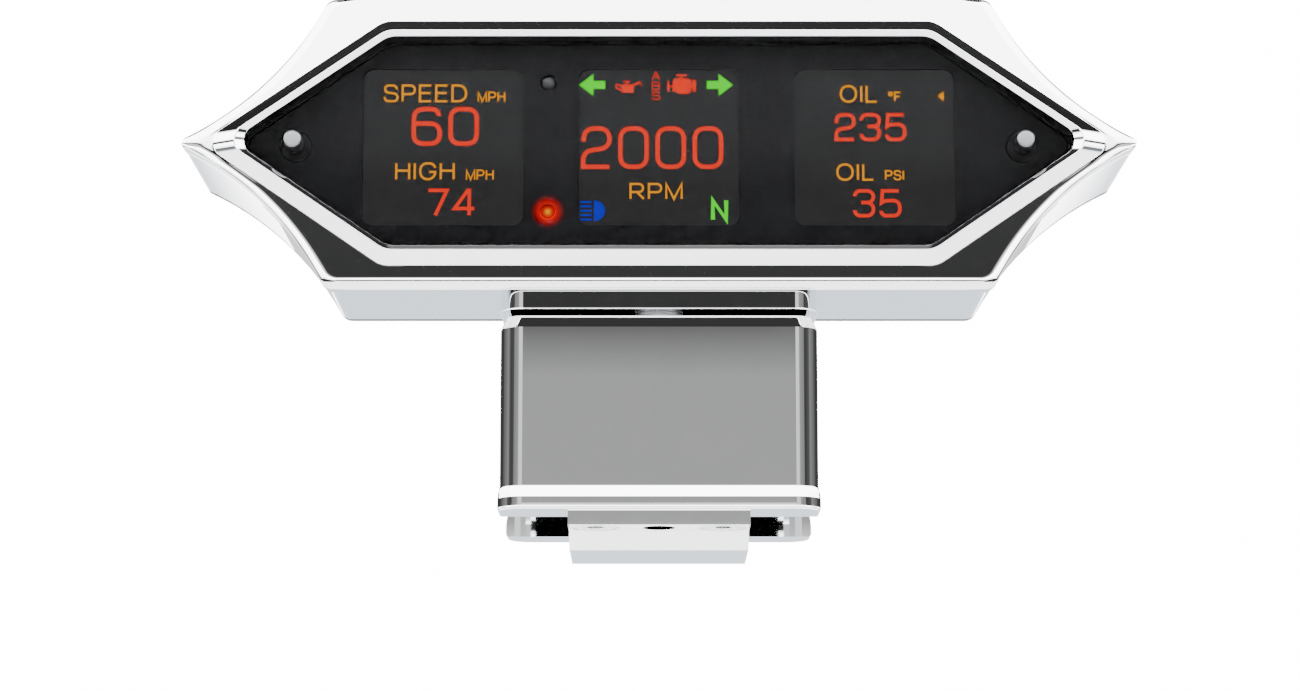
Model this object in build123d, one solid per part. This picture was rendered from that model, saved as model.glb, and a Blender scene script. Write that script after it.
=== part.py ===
from build123d import *
import os
from math import sqrt

# Motorcycle instrument cluster on a handlebar clamp, in millimetres.
# Origin: centre of the handlebar bore. +X runs along the bar, +Y points away from
# the rider (the face looks along -Y) and +Z is up.

# ---- Driving dimensions: gauge case -------------------------------------------------
case_width = 183.4          # between the sharp points; rounding takes it to 180
case_height = 55.9          # over the straight top and bottom edges
case_flat = 125.4           # length of the straight top edge
case_sagitta = 3.5          # how far each slanting side is hollowed
case_depth = 37.6           # from the flat front rim to the open back
case_wall = 2.2
front_wall = 2.0
rim_depth = 5.0             # length of the front rim
rim_step = 1.0              # how far the rim stands proud at top and bottom, none at the points
rim_round = 1.2
case_tip_radius = 1.2
case_corner_radius = 2.5
face_y = -30.4              # flat front of the rim

# ---- Raised ring around the lens ----------------------------------------------------
ring_side_gap = 3.75        # from the ring's point square across to the case's slanting side
ring_margin = 4.4           # from the case's top edge to the ring's foot
ring_flat_margin = 10.6     # the ring's corners stand this far inside the case's
ring_rise = 2.6
ring_slope_run = 2.35       # width of the outer flank
ring_crest = 0.3            # width of the crest
ring_inner_run = 1.0        # width of the inner wall
ring_corner_radius = 5.0
ring_tip_radius = 3.0

# ---- Lens, gasket and mask ----------------------------------------------------------
lens_recess = 3.16          # depth of the lens face below the crest
lens_thickness = 3.0
lens_flange = 1.6           # overlap behind the front wall
lens_gap = 0.1
gasket_thickness = 0.5
mask_thickness = 0.8
mask_gap = 0.34             # air behind the lens

# ---- Displays and boards ------------------------------------------------------------
window_size = 30.4
window_radius = 2.0
window_pitch = 40.9
display_size = 32.0
display_thickness = 1.6
display_board_size = 33.0
display_board_thickness = 1.2
display_board_radius = 1.0
main_board_y = -14.0        # front of the main board
main_board_thickness = 1.6
main_board_tip_margin = 14.7
main_board_gap = 1.35       # between the board's long edges and the wall
main_board_flat_margin = 3.2
post_edge = 2.0             # from a post's centre to the board's long edge
post_clearance = 0.66       # between a post and the lens's flange
post_radius = 2.4
post_thread_depth = 6.0
board_corner_radius = 3.0
screw_hole_play = 0.2       # radial clearance of a screw hole

# ---- Lamps and push buttons ---------------------------------------------------------
led_x = -21.0
led_z = 12.6
led_diameter = 3.0
led_rim_diameter = 3.8
led_fit = 0.1
button_x = 68.8
button_diameter = 3.4
button_proud = 4.0          # length standing out of the lens
button_travel = 1.0
button_fit = 0.06           # radial clearance of the pin
button_collar_diameter = 6.0
button_collar_length = 1.2
plunger_diameter = 2.4
plunger_fit = 0.15
button_tip_round = 0.4
switch_size = 6.2
seal_thickness = 0.9
switch_play = 0.3           # left at full travel before the collar meets the switch
plunger_reach = 2.0         # how far the plunger enters the switch

# ---- Back cover ---------------------------------------------------------------------
cover_thickness = 2.0
cover_gasket_thickness = 0.8
cover_boss_radius = 2.9
cover_boss_length = 13.0
cover_boss_edge = 2.35      # from a boss's centre to the wall
cover_edge_round = 0.6
grommet_drop = 8.2          # below the case's centre
grommet_hole = 14.0
grommet_bore = 8.0
grommet_flange = 18.0

# ---- Mounting foot and swivel -------------------------------------------------------
block_width = 59.7          # shared by the foot and the clamp block
block_radius = 4.6
block_front = -28.0
foot_thickness = 3.5
foot_rear = 6.0
foot_screw_x = 20.0
foot_screw_y = -3.0
pivot_skin = 0.8            # metal left above the pivot screw's thread
swivel_gap = 1.1            # open joint between the foot and the block
swivel_y = -21.5
swivel_screw_diameter = 6.0
swivel_fit = 0.06
collar_diameter = 9.0

# ---- Handlebar clamp ----------------------------------------------------------------
bar_diameter = 31.8
block_above_bar = 22.65     # block top above the bar's centre
block_below_bar = 14.0      # block bottom below the bar's centre
block_rear = 26.0
bead_height = 3.9
bead_proud = 0.4
bead_round = 1.1
cove_height = 0.5
cove_depth = 0.5
bevel_height = 2.3          # slanting band round the top of the block
bevel_angle = 25.0          # from the upright
cap_width = 34.0
cap_ear = 2.8
ear_margin = 1.2            # the ears stop this far inside the block's front and rear
cap_strap = 4.0             # metal under the bar
cap_gap = 0.2               # play of the cap in the slot
saddle_reach = 9.0          # how far the cap's saddle rises into the slot
cap_screw_x = 12.0
cap_screw_diameter = 5.0
cap_screw_y_front = -21.5
cap_screw_y_rear = 20.8
cap_screw_length = 17.0

# ---- Small hardware -----------------------------------------------------------------
board_screw_thread = 2.5
cover_screw_thread = 3.0
cover_screw_length = 8.0
foot_screw_diameter = 4.0
header_offset = 13.0
header_length = 20.0
header_width = 2.5
led_clearance = 0.14        # between the dome and the lens
led_length = 5.4
led_leg_size = 0.5
led_leg_pitch = 2.0
connector_width = 14.0
connector_height = 8.0
connector_depth = 8.0
connector_wall = 1.0
connector_floor = 2.0
grommet_flange_thickness = 2.0
grommet_round = 0.8
grommet_play = 0.05         # radial clearance in the cover's hole
foot_screw_length = 5.5
led_rim_thickness = 1.0
cap_socket_radius = 1.75
cap_socket_depth = 1.8
pivot_socket_radius = 2.9
pivot_socket_depth = 3.0
washer_thickness = 0.8
cap_screw_head_diameter = 9.6
cap_screw_head_height = 2.3
cap_screw_sink = 0.1        # the flat heads sit this far below the ear's face
pivot_head_diameter = 10.0
pivot_head_height = 6.0
pivot_pocket_play = 0.15
pivot_head_z = -2.75        # underside of the pivot screw's head
pivot_play = 0.05           # end play of the swivel
key_hole_diameter = 6.0
# x, z from the case centre, width, height, thickness
board_chip_list = [
    (0.0, 6.0, 12.0, 12.0, 1.4),
    (-28.0, 2.0, 8.0, 6.0, 1.6),
    (26.0, 3.0, 8.0, 6.0, 1.6),
    (40.0, -8.0, 9.0, 9.0, 4.0),
]

# ---- Worked-out positions -----------------------------------------------------------
case_centre_z = block_above_bar + swivel_gap + foot_thickness + case_height / 2
case_run = (case_width - case_flat) / 2
slant_share = (case_height / 2) / sqrt(case_run**2 + (case_height / 2) ** 2)
ring_width = case_width - 2 * ring_side_gap / slant_share
ring_height = case_height - 2 * ring_margin
ring_flat = case_flat - 2 * ring_flat_margin
main_board_width = case_width - 2 * main_board_tip_margin
main_board_height = case_height - 2 * (rim_step + case_wall + main_board_gap)
main_board_flat = case_flat - 2 * main_board_flat_margin
post_z = main_board_height / 2 - post_edge
ring_run = (ring_width - ring_flat) / 2
ring_side = sqrt(ring_run**2 + (ring_height / 2) ** 2)
lens_flange_inset = ring_slope_run + ring_crest + ring_inner_run - lens_flange
post_from_ring = post_radius + post_clearance - lens_flange_inset
post_run = ring_side * post_from_ring + (ring_height / 2 - post_z) * ring_run
post_x = ring_flat / 2 + post_run / (ring_height / 2)
cover_boss_z = case_height / 2 - rim_step - case_wall - cover_boss_edge
grommet_z = case_centre_z - grommet_drop
connector_z = grommet_z
crest_y = face_y - ring_rise
lens_y = crest_y + lens_recess
inner_face_y = face_y + front_wall
flange_y = inner_face_y + gasket_thickness
lens_rear_y = lens_y + lens_thickness
mask_y = lens_rear_y + mask_gap
display_y = mask_y + mask_thickness
display_board_y = display_y + display_thickness
header_y = display_board_y + display_board_thickness
main_board_rear = main_board_y + main_board_thickness
case_rear_y = face_y + case_depth
cover_y = case_rear_y + cover_gasket_thickness
cover_rear_y = cover_y + cover_thickness
case_bottom_z = case_centre_z - case_height / 2 + rim_step
case_floor_z = case_bottom_z + case_wall
foot_top_z = case_centre_z - case_height / 2
block_top_z = block_above_bar
foot_bottom_z = block_top_z + swivel_gap
bar_radius = bar_diameter / 2


# ---- Drawing helpers ----------------------------------------------------------------
def slab(outline, front, rear):
    """Extrude an outline drawn in x and z between two values of y."""
    plane = Plane(origin=(0, rear, 0), x_dir=(1, 0, 0), z_dir=(0, -1, 0))
    return extrude(plane * outline, amount=rear - front)


def disc(radius, x, z):
    return Pos(x, z) * Circle(radius)


def pin_y(radius, x, z, front, rear):
    """Round pin along Y."""
    return slab(disc(radius, x, z), front, rear)


def pin_z(radius, x, y, low, high):
    """Round pin along Z."""
    return Pos(x, y, (low + high) / 2) * Cylinder(radius, high - low)


def hollow_hexagon(inset, step=0):
    """Case outline: straight top and bottom, hollowed slanting sides, pointed ends.
    A step lowers the top and bottom only; an inset moves every side in."""
    half_width = case_width / 2
    half_height = case_height / 2 - step
    flat = case_flat / 2 - step / 2
    run = half_width - flat
    chord = sqrt(run**2 + half_height**2)
    radius = (chord**2 / 4 + case_sagitta**2) / (2 * case_sagitta)
    out_x = half_height / chord
    out_z = run / chord
    centre_x = (half_width + flat) / 2 + out_x * (radius - case_sagitta)
    centre_z = half_height / 2 + out_z * (radius - case_sagitta)
    reach = radius + inset
    top = half_height - inset
    corner = centre_x - sqrt(reach**2 - (top - centre_z) ** 2)
    tip = centre_x - sqrt(reach**2 - centre_z**2)
    mid_x = centre_x - out_x * reach
    mid_z = centre_z - out_z * reach
    edges = [
        Line((-corner, top), (corner, top)),
        ThreePointArc((corner, top), (mid_x, mid_z), (tip, 0)),
        ThreePointArc((tip, 0), (mid_x, -mid_z), (corner, -top)),
        Line((corner, -top), (-corner, -top)),
        ThreePointArc((-corner, -top), (-mid_x, -mid_z), (-tip, 0)),
        ThreePointArc((-tip, 0), (-mid_x, mid_z), (-corner, top)),
    ]
    face = make_face(edges)
    corners = [v for v in face.vertices() if abs(v.Y) > 1]
    face = fillet(corners, case_corner_radius)
    tips = [v for v in face.vertices() if abs(v.Y) < 0.001]
    return Pos(0, case_centre_z) * fillet(tips, case_tip_radius)


def straight_hexagon(width, height, flat, inset, corner_radius, tip_radius):
    """Straight-sided outline, moved in by inset on every side."""
    run = (width - flat) / 2
    slant = sqrt(run**2 + (height / 2) ** 2)
    half_height = height / 2 - inset
    tip = width / 2 - inset * slant / (height / 2)
    corner = tip - half_height * run / (height / 2)
    points = [(corner, half_height), (tip, 0), (corner, -half_height)]
    points += [(-x, z) for x, z in reversed(points)]
    face = make_face(Polyline(*points, close=True))
    corners = [v for v in face.vertices() if abs(v.Y) > 1]
    face = fillet(corners, corner_radius)
    tips = [v for v in face.vertices() if abs(v.Y) < 0.001]
    return Pos(0, case_centre_z) * fillet(tips, tip_radius)


def ring_outline(inset):
    corner_radius = ring_corner_radius
    return straight_hexagon(ring_width, ring_height, ring_flat, inset, corner_radius, ring_tip_radius)


def taper(outer, outer_y, inner, inner_y):
    """Straight-walled solid between two like outlines at two values of y."""
    faces = []
    for outline, y in ((outer, outer_y), (inner, inner_y)):
        plane = Plane(origin=(0, y, 0), x_dir=(1, 0, 0), z_dir=(0, -1, 0))
        faces.append((plane * outline).faces()[0])
    return loft(faces, ruled=True)


def edges_on(solid, pick, value):
    """Edges whose every point has the given coordinate."""
    found = []
    for edge in solid.edges():
        box = edge.bounding_box()
        low = pick(box.min)
        high = pick(box.max)
        if abs(low - value) < 0.001 and abs(high - value) < 0.001:
            found.append(edge)
    return found


def save(name, shape):
    export_step(shape, "parts/" + name + ".step")


# ---- Case: one shell with a raised ring, posts for the board and bosses for the cover
def make_housing():
    rim_rear = face_y + rim_depth
    rim = slab(hollow_hexagon(0), face_y, rim_rear)
    rim = fillet(edges_on(rim, lambda p: p.Y, face_y), rim_round)
    body = rim + slab(hollow_hexagon(0, rim_step), rim_rear, case_rear_y)
    crest_inset = ring_slope_run + ring_crest
    body += taper(ring_outline(0), face_y, ring_outline(ring_slope_run), crest_y)
    body += slab(ring_outline(0), face_y, inner_face_y)
    opening = ring_outline(crest_inset + ring_inner_run)
    body -= taper(opening, lens_y, ring_outline(crest_inset), crest_y)
    body -= slab(opening, lens_y, inner_face_y)
    body -= slab(hollow_hexagon(case_wall, rim_step), inner_face_y, case_rear_y)
    thread_front = main_board_y - post_thread_depth
    for x in (-post_x, post_x):
        for z in (-post_z, post_z):
            body += pin_y(post_radius, x, case_centre_z + z, inner_face_y, main_board_y)
            body -= pin_y(board_screw_thread / 2, x, case_centre_z + z, thread_front, main_board_y)
    inside = slab(hollow_hexagon(0, rim_step), inner_face_y, case_rear_y)
    for x, z in cover_screw_places():
        boss = pin_y(cover_boss_radius, x, z, case_rear_y - cover_boss_length, case_rear_y)
        body += boss & inside
        body -= pin_y(cover_screw_thread / 2, x, z, case_rear_y - cover_screw_length, case_rear_y)
    for x in (-foot_screw_x, foot_screw_x):
        body -= pin_z(foot_screw_diameter / 2, x, foot_screw_y, case_bottom_z - 1, case_floor_z)
    return body


def cover_screw_places():
    places = []
    for x in (-post_x, 0, post_x):
        for z in (-cover_boss_z, cover_boss_z):
            places.append((x, case_centre_z + z))
    return places


# ---- Front stack: gasket, lens and mask ---------------------------------------------
def lens_opening_inset():
    return ring_slope_run + ring_crest + ring_inner_run


def make_lens():
    plateau_inset = lens_opening_inset() + lens_gap
    lens = slab(ring_outline(plateau_inset), lens_y, flange_y)
    lens += slab(ring_outline(lens_flange_inset), flange_y, lens_rear_y)
    for x in (-button_x, button_x):
        radius = button_diameter / 2 + button_fit
        lens -= pin_y(radius, x, case_centre_z, lens_y, lens_rear_y)
    return lens


def make_lens_gasket():
    outer = ring_outline(lens_flange_inset)
    inner = ring_outline(lens_opening_inset())
    return slab(outer, inner_face_y, flange_y) - slab(inner, inner_face_y, flange_y)


def make_face_mask():
    mask = slab(ring_outline(lens_flange_inset), mask_y, display_y)
    # a step round the edge keeps the mask off the lens
    spacer = slab(ring_outline(lens_flange_inset), lens_rear_y, mask_y)
    spacer -= slab(ring_outline(lens_opening_inset()), lens_rear_y, mask_y)
    mask += spacer
    for x in display_places().values():
        window = Pos(x, case_centre_z) * RectangleRounded(window_size, window_size, window_radius)
        mask -= slab(window, mask_y, display_y)
    for z in (-led_z, led_z):
        mask -= pin_y(led_diameter / 2 + led_fit, led_x, case_centre_z + z, mask_y, display_y)
    for x in (-button_x, button_x):
        radius = button_collar_diameter / 2 + led_fit
        mask -= pin_y(radius, x, case_centre_z, mask_y, display_y)
    return mask


# ---- Displays with their carrier boards ---------------------------------------------
def display_places():
    return {"left": -window_pitch, "centre": 0, "right": window_pitch}


def make_display(x):
    outline = Pos(x, case_centre_z) * Rectangle(display_size, display_size)
    return slab(outline, display_y, display_board_y)


def make_display_board(x):
    size = display_board_size
    outline = Pos(x, case_centre_z) * RectangleRounded(size, size, display_board_radius)
    return slab(outline, display_board_y, header_y)


def make_display_headers():
    """Plastic pin strips that carry each display board on the main board."""
    strips = []
    for x in display_places().values():
        for z in (-header_offset, header_offset):
            outline = Pos(x, case_centre_z + z) * Rectangle(header_length, header_width)
            strips.append(slab(outline, header_y, main_board_y))
    return Compound(children=strips)


# ---- Main board and what is on it ---------------------------------------------------
def make_main_board():
    radius = board_corner_radius
    outline = straight_hexagon(main_board_width, main_board_height, main_board_flat, 0, radius, radius)
    board = slab(outline, main_board_y, main_board_rear)
    radius = board_screw_thread / 2 + screw_hole_play
    for x in (-post_x, post_x):
        for z in (-post_z, post_z):
            board -= pin_y(radius, x, case_centre_z + z, main_board_y, main_board_rear)
    return board


def make_board_chips():
    """Processor, two drivers and a power converter on the rear of the board."""
    chips = []
    for x, z, width, height, thickness in board_chip_list:
        outline = Pos(x, case_centre_z + z) * Rectangle(width, height)
        chips.append(slab(outline, main_board_rear, main_board_rear + thickness))
    return Compound(children=chips)


def make_board_connector():
    plan = Pos(0, connector_z) * Rectangle(connector_width, connector_height)
    shell = slab(plan, main_board_rear, main_board_rear + connector_depth)
    mouth_width = connector_width - 2 * connector_wall
    mouth_height = connector_height - 2 * connector_wall
    mouth = Pos(0, connector_z) * Rectangle(mouth_width, mouth_height)
    return shell - slab(mouth, main_board_rear + connector_floor, main_board_rear + connector_depth)


def make_pan_screw(x, z, seat_y, thread, length):
    """Pan-head cross-recess screw that enters along -Y."""
    head_radius = thread
    head_height = 0.7 * thread
    head = pin_y(head_radius, x, z, seat_y, seat_y + head_height)
    head = fillet(edges_on(head, lambda p: p.Y, seat_y + head_height), 0.4 * head_height)
    shank = pin_y(thread / 2, x, z, seat_y - length, seat_y)
    screw = head + shank
    slot_rear = seat_y + head_height
    for width, height in ((0.3 * thread, 1.3 * thread), (1.3 * thread, 0.3 * thread)):
        slot = Pos(x, z) * Rectangle(width, height)
        screw -= slab(slot, slot_rear - 0.5 * head_height, slot_rear)
    return screw


def make_board_screws():
    screws = []
    for x in (-post_x, post_x):
        for z in (-post_z, post_z):
            place_z = case_centre_z + z
            length = post_thread_depth
            screws.append(make_pan_screw(x, place_z, main_board_rear, board_screw_thread, length))
    return Compound(children=screws)


def make_led(z):
    """Round lamp with a domed tip, a rim and two legs that reach the board."""
    tip_y = lens_rear_y + led_clearance
    radius = led_diameter / 2
    place_z = case_centre_z + z
    led_body = pin_y(radius, led_x, place_z, tip_y + radius, tip_y + led_length)
    led_body += Pos(led_x, tip_y + radius, place_z) * Sphere(radius)
    rear_y = tip_y + led_length
    led_body += pin_y(led_rim_diameter / 2, led_x, place_z, rear_y - led_rim_thickness, rear_y)
    for x in (-led_leg_pitch / 2, led_leg_pitch / 2):
        leg = Pos(led_x + x, place_z) * Rectangle(led_leg_size, led_leg_size)
        led_body += slab(leg, rear_y, main_board_y)
    return led_body


# ---- Push buttons, their switches and seals -----------------------------------------
def switch_front():
    """Front face of the switch body, just behind the collar's full travel."""
    collar_rear = lens_rear_y + seal_thickness + button_collar_length
    return collar_rear + button_travel + switch_play


def make_switch(x):
    outline = Pos(x, case_centre_z) * Rectangle(switch_size, switch_size)
    switch = slab(outline, switch_front(), main_board_y)
    bore = plunger_diameter / 2 + plunger_fit
    return switch - pin_y(bore, x, case_centre_z, switch_front(), main_board_y - 1)


def make_button(x):
    """Satin pin, the collar that keeps it in and the plunger that works the switch."""
    radius = button_diameter / 2
    tip_y = lens_y - button_proud
    collar_y = lens_rear_y + seal_thickness
    collar_rear = collar_y + button_collar_length
    pin = pin_y(radius, x, case_centre_z, tip_y, collar_y)
    pin = fillet(edges_on(pin, lambda p: p.Y, tip_y), button_tip_round)
    pin += pin_y(button_collar_diameter / 2, x, case_centre_z, collar_y, collar_rear)
    plunger_rear = switch_front() + plunger_reach
    return pin + pin_y(plunger_diameter / 2, x, case_centre_z, collar_rear, plunger_rear)


def make_button_seal(x):
    """Rubber washer between the lens and the button's collar."""
    bore = button_diameter / 2 + button_fit
    seal = pin_y(button_collar_diameter / 2, x, case_centre_z, lens_rear_y, collar_front())
    return seal - pin_y(bore, x, case_centre_z, lens_rear_y, collar_front())


def collar_front():
    return lens_rear_y + seal_thickness - button_fit


# ---- Back cover, its gasket and screws, and the cable grommet -----------------------
def make_back_cover():
    cover = slab(hollow_hexagon(0, rim_step), cover_y, cover_rear_y)
    cover = fillet(edges_on(cover, lambda p: p.Y, cover_rear_y), cover_edge_round)
    for x, z in cover_screw_places():
        cover -= pin_y(cover_screw_thread / 2 + screw_hole_play, x, z, cover_y, cover_rear_y)
    return cover - pin_y(grommet_hole / 2, 0, grommet_z, cover_y, cover_rear_y)


def make_cover_gasket():
    gasket = slab(hollow_hexagon(0, rim_step), case_rear_y, cover_y)
    inside = hollow_hexagon(case_wall, rim_step)
    gasket -= slab(inside, case_rear_y, cover_y)
    for x, z in cover_screw_places():
        eyelet = pin_y(cover_boss_radius, x, z, case_rear_y, cover_y)
        gasket += eyelet & slab(hollow_hexagon(0, rim_step), case_rear_y, cover_y)
        gasket -= pin_y(cover_screw_thread / 2 + screw_hole_play, x, z, case_rear_y, cover_y)
    return gasket


def make_cover_screws():
    screws = []
    length = cover_screw_length + cover_thickness + cover_gasket_thickness
    for x, z in cover_screw_places():
        screws.append(make_pan_screw(x, z, cover_rear_y, cover_screw_thread, length))
    return Compound(children=screws)


def make_harness_grommet():
    """Rubber sleeve with a flange on each side of the cover."""
    inner_y = cover_y - grommet_flange_thickness
    outer_y = cover_rear_y + grommet_flange_thickness
    sleeve = pin_y(grommet_hole / 2 - grommet_play, 0, grommet_z, inner_y, outer_y)
    for front in (inner_y, cover_rear_y):
        rear = front + grommet_flange_thickness
        sleeve += pin_y(grommet_flange / 2, 0, grommet_z, front, rear)
    sleeve = fillet(edges_on(sleeve, lambda p: p.Y, outer_y), grommet_round)
    return sleeve - pin_y(grommet_bore / 2, 0, grommet_z, inner_y, outer_y)


# ---- Mounting foot, bolted to the case from inside ----------------------------------
def block_outline(grow, rear):
    """Rounded plan outline shared by the foot and the clamp block."""
    length = rear - block_front + 2 * grow
    plan = RectangleRounded(block_width + 2 * grow, length, block_radius + grow)
    return Pos(0, (rear + block_front) / 2) * plan


def make_mounting_foot():
    foot = Pos(0, 0, foot_bottom_z) * extrude(block_outline(0, foot_rear), foot_top_z - foot_bottom_z)
    pad_front = face_y + rim_depth
    pad_length = foot_rear - block_radius - pad_front
    pad = Box(block_width - 2 * block_radius, pad_length, case_bottom_z - foot_top_z)
    foot += Pos(0, pad_front + pad_length / 2, (case_bottom_z + foot_top_z) / 2) * pad
    foot -= pin_z(swivel_screw_diameter / 2, 0, swivel_y, foot_bottom_z, pivot_screw_top())
    for x in (-foot_screw_x, foot_screw_x):
        low = case_floor_z - foot_screw_length
        foot -= pin_z(foot_screw_diameter / 2, x, foot_screw_y, low, case_bottom_z)
    return foot


def pivot_screw_top():
    return case_bottom_z - pivot_skin


def make_foot_screws():
    screws = []
    for x in (-foot_screw_x, foot_screw_x):
        radius = foot_screw_diameter / 2
        low = case_floor_z - foot_screw_length
        high = case_floor_z + 0.6 * foot_screw_diameter
        screw = pin_z(radius, x, foot_screw_y, low, case_floor_z)
        screw += pin_z(1.75 * radius, x, foot_screw_y, case_floor_z, high)
        hexagon = Pos(x, foot_screw_y, high) * RegularPolygon(0.6 * radius, 6)
        screws.append(screw - extrude(hexagon, -0.6 * radius))
    return Compound(children=screws)


# ---- Swivel: screw, washer and collar -----------------------------------------------
def make_pivot_screw():
    """Socket screw from below, threaded into the foot; the head turns with it."""
    radius = swivel_screw_diameter / 2
    low = pivot_head_z - pivot_head_height
    screw = pin_z(radius, 0, swivel_y, pivot_head_z, pivot_screw_top())
    screw += pin_z(pivot_head_diameter / 2, 0, swivel_y, low, pivot_head_z)
    socket = Pos(0, swivel_y, low) * RegularPolygon(pivot_socket_radius, 6)
    return screw - extrude(socket, pivot_socket_depth)


def make_pivot_washer():
    """Spring washer that gives the swivel its friction."""
    top = pivot_head_z + pivot_play + washer_thickness
    washer = pin_z(pivot_head_diameter / 2, 0, swivel_y, top - washer_thickness, top)
    bore = swivel_screw_diameter / 2 + swivel_fit
    return washer - pin_z(bore, 0, swivel_y, top - washer_thickness, top)


def make_pivot_collar():
    top = foot_bottom_z - pivot_play
    bore = swivel_screw_diameter / 2 + swivel_fit
    collar = pin_z(collar_diameter / 2, 0, swivel_y, block_top_z, top)
    return collar - pin_z(bore, 0, swivel_y, block_top_z, top)


# ---- Clamp block over the bar -------------------------------------------------------
def make_clamp_block():
    low = -block_below_bar
    bevel_z = block_top_z - bevel_height
    plan = block_outline(0, block_rear)
    block = Pos(0, 0, low) * extrude(plan, bevel_z - low)
    block += Pos(0, 0, bevel_z) * extrude(plan, bevel_height, taper=bevel_angle)
    bead = Pos(0, 0, low) * extrude(block_outline(bead_proud, block_rear), bead_height)
    for level in (low, low + bead_height):
        bead = fillet(edges_on(bead, lambda p: p.Z, level), bead_round)
    cove_z = low + bead_height
    cove = extrude(block_outline(bead_proud, block_rear), cove_height)
    cove -= extrude(block_outline(-cove_depth, block_rear), cove_height)
    block -= Pos(0, 0, cove_z) * cove
    block += bead
    # the slot drops over the bar from above
    slot = Rot(0, 90, 0) * Cylinder(bar_radius, 2 * block_width)
    slot += Pos(0, 0, -block_below_bar) * Box(2 * block_width, bar_diameter, 2 * block_below_bar)
    block -= slot
    bore = swivel_screw_diameter / 2 + swivel_fit
    block -= pin_z(bore, 0, swivel_y, low, block_top_z + 1)
    washer_top = pivot_head_z + pivot_play + washer_thickness
    pocket = pivot_head_diameter / 2 + pivot_pocket_play
    block -= pin_z(pocket, 0, swivel_y, low - 1, washer_top)
    for x, y in cap_screw_places():
        top = low - cap_ear + cap_screw_length
        block -= pin_z(cap_screw_diameter / 2, x, y, low - 1, top)
    return block


def cap_screw_places():
    places = []
    for x in (-cap_screw_x, cap_screw_x):
        for y in (cap_screw_y_front, cap_screw_y_rear):
            places.append((x, y))
    return places


# ---- Clamp cap under the bar and its screws -----------------------------------------
def make_clamp_cap():
    """Lower saddle that fills the slot below the bar, with an ear at front and rear."""
    ear_top = -block_below_bar
    saddle_width = bar_diameter - 2 * cap_gap
    saddle_top = ear_top + saddle_reach
    saddle_low = -bar_radius - cap_strap
    saddle_height = saddle_top - saddle_low
    cap = Pos(0, 0, saddle_low + saddle_height / 2) * Box(cap_width, saddle_width, saddle_height)
    low_edges = [e for e in edges_on(cap, lambda p: p.Z, saddle_low) if e.length > cap_width * 0.99]
    cap = fillet(low_edges, cap_strap)
    ear_front = block_front + ear_margin
    ear_length = block_rear - ear_margin - ear_front
    plate = Box(cap_width, ear_length, cap_ear)
    cap += Pos(0, ear_front + ear_length / 2, ear_top - cap_ear / 2) * plate
    cap -= Rot(0, 90, 0) * Cylinder(bar_radius, 2 * cap_width)
    for x, y in cap_screw_places():
        cap -= pin_z(cap_screw_diameter / 2, x, y, ear_top - cap_ear, ear_top)
        cap -= cap_screw_head(x, y, ear_top - cap_ear + cap_screw_sink)
        cap -= pin_z(cap_screw_head_diameter / 2, x, y, ear_top - cap_ear, ear_top - cap_ear + cap_screw_sink)
    # the key for the pivot screw passes through the front ear
    cap -= pin_z(key_hole_diameter / 2, 0, swivel_y, ear_top - cap_ear, ear_top)
    return cap


def cap_screw_head(x, y, low):
    """Flat countersunk head, wide end down."""
    head = Cone(cap_screw_head_diameter / 2, cap_screw_diameter / 2, cap_screw_head_height)
    return Pos(x, y, low + cap_screw_head_height / 2) * head


def make_clamp_screws():
    screws = []
    low = -block_below_bar - cap_ear + cap_screw_sink
    for x, y in cap_screw_places():
        screw = pin_z(cap_screw_diameter / 2, x, y, low, low + cap_screw_length - 1)
        screw += cap_screw_head(x, y, low)
        socket = Pos(x, y, low) * RegularPolygon(cap_socket_radius, 6)
        screws.append(screw - extrude(socket, cap_socket_depth))
    return Compound(children=screws)


# ---- Every node ---------------------------------------------------------------------
def make_parts():
    parts = {
        "housing": make_housing(),
        "lens": make_lens(),
        "lens_gasket": make_lens_gasket(),
        "face_mask": make_face_mask(),
        "display_headers": make_display_headers(),
        "main_board": make_main_board(),
        "board_chips": make_board_chips(),
        "board_connector": make_board_connector(),
        "board_screws": make_board_screws(),
        "upper_led": make_led(led_z),
        "lower_led": make_led(-led_z),
        "back_cover": make_back_cover(),
        "cover_gasket": make_cover_gasket(),
        "cover_screws": make_cover_screws(),
        "harness_grommet": make_harness_grommet(),
        "mounting_foot": make_mounting_foot(),
        "foot_screws": make_foot_screws(),
        "pivot_screw": make_pivot_screw(),
        "pivot_washer": make_pivot_washer(),
        "pivot_collar": make_pivot_collar(),
        "clamp_block": make_clamp_block(),
        "clamp_cap": make_clamp_cap(),
        "clamp_screws": make_clamp_screws(),
    }
    for name, x in display_places().items():
        parts[name + "_display"] = make_display(x)
        parts[name + "_display_board"] = make_display_board(x)
    for name, x in (("left", -button_x), ("right", button_x)):
        parts[name + "_button"] = make_button(x)
        parts[name + "_button_seal"] = make_button_seal(x)
        parts[name + "_switch"] = make_switch(x)
    return parts


os.makedirs("parts", exist_ok=True)
for node, shape in make_parts().items():
    save(node, shape)
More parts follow.
